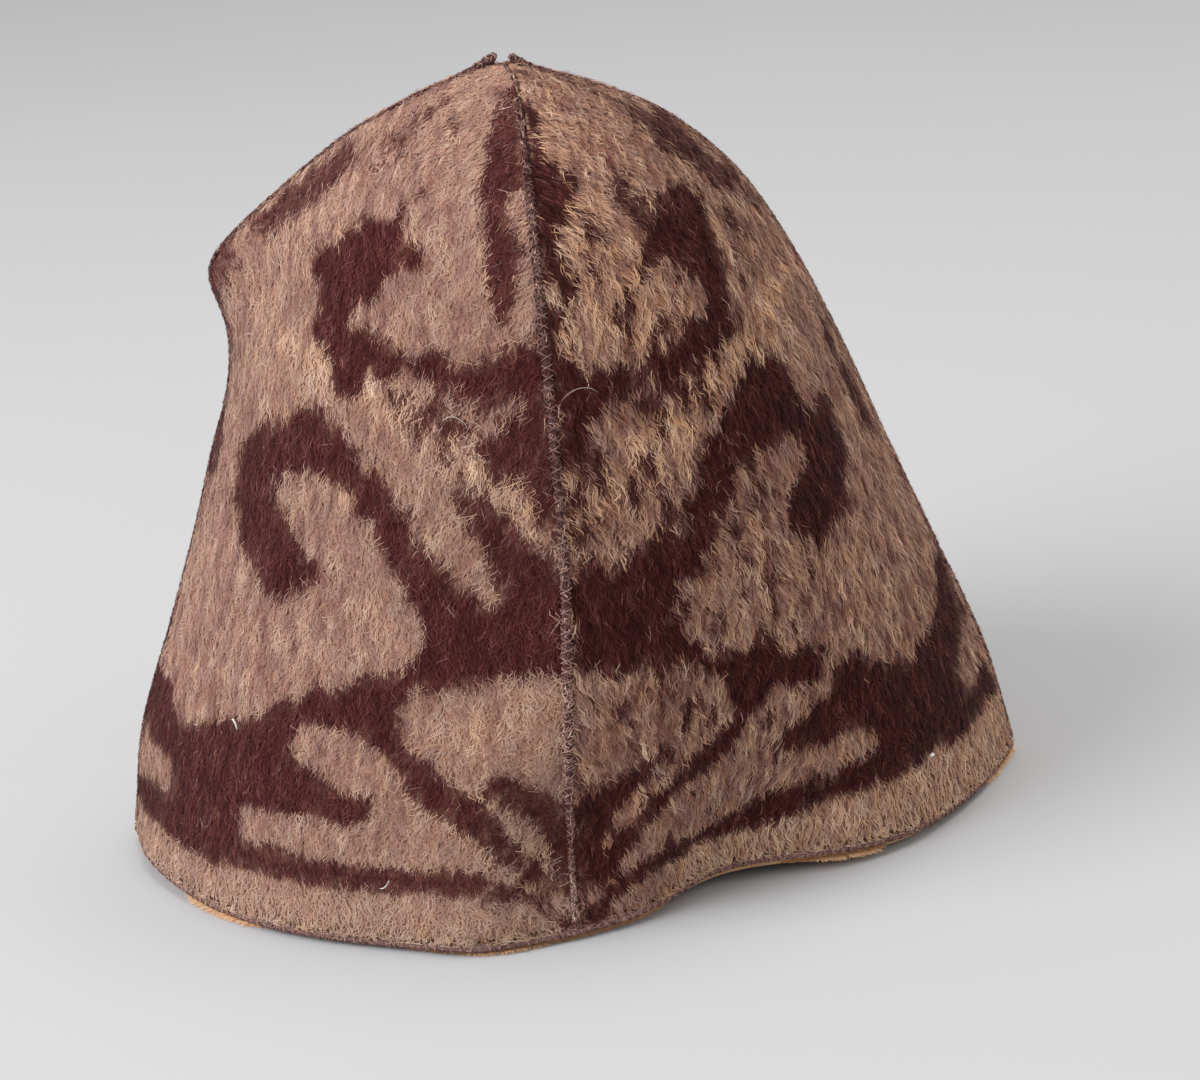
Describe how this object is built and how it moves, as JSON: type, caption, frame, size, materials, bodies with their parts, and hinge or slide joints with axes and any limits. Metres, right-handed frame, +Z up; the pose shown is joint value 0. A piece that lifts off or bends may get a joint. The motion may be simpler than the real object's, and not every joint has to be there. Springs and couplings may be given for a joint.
{
  "type": "sauna hat",
  "caption": "Bell-shaped sauna hat of two-tone blanket wool, sewn from gores with raised overlocked seams and a faced hem.",
  "frame": {"origin": "middle of the hat's footprint, on the surface that its rim rests on", "axes": "+Z up through the peak, -Y towards the front seam, +X to the right as seen from the front"},
  "size_m": [0.276, 0.2221, 0.2347],
  "materials": {
    "blanket_wool": "brushed two-tone wool, maroon brown on beige",
    "overlock_thread": "matt grey-mauve thread",
    "facing_cloth": "peach flannel"
  },
  "bodies": {
    "root": {"gore_front_left": "blanket_wool", "gore_front_right": "blanket_wool", "gore_back_left": "blanket_wool", "gore_back_right": "blanket_wool", "seam_front_to_back": "overlock_thread", "seam_left": "overlock_thread", "seam_right": "overlock_thread", "hem_overlock": "overlock_thread", "hem_facing": "facing_cloth"}
  },
  "joints": []
}
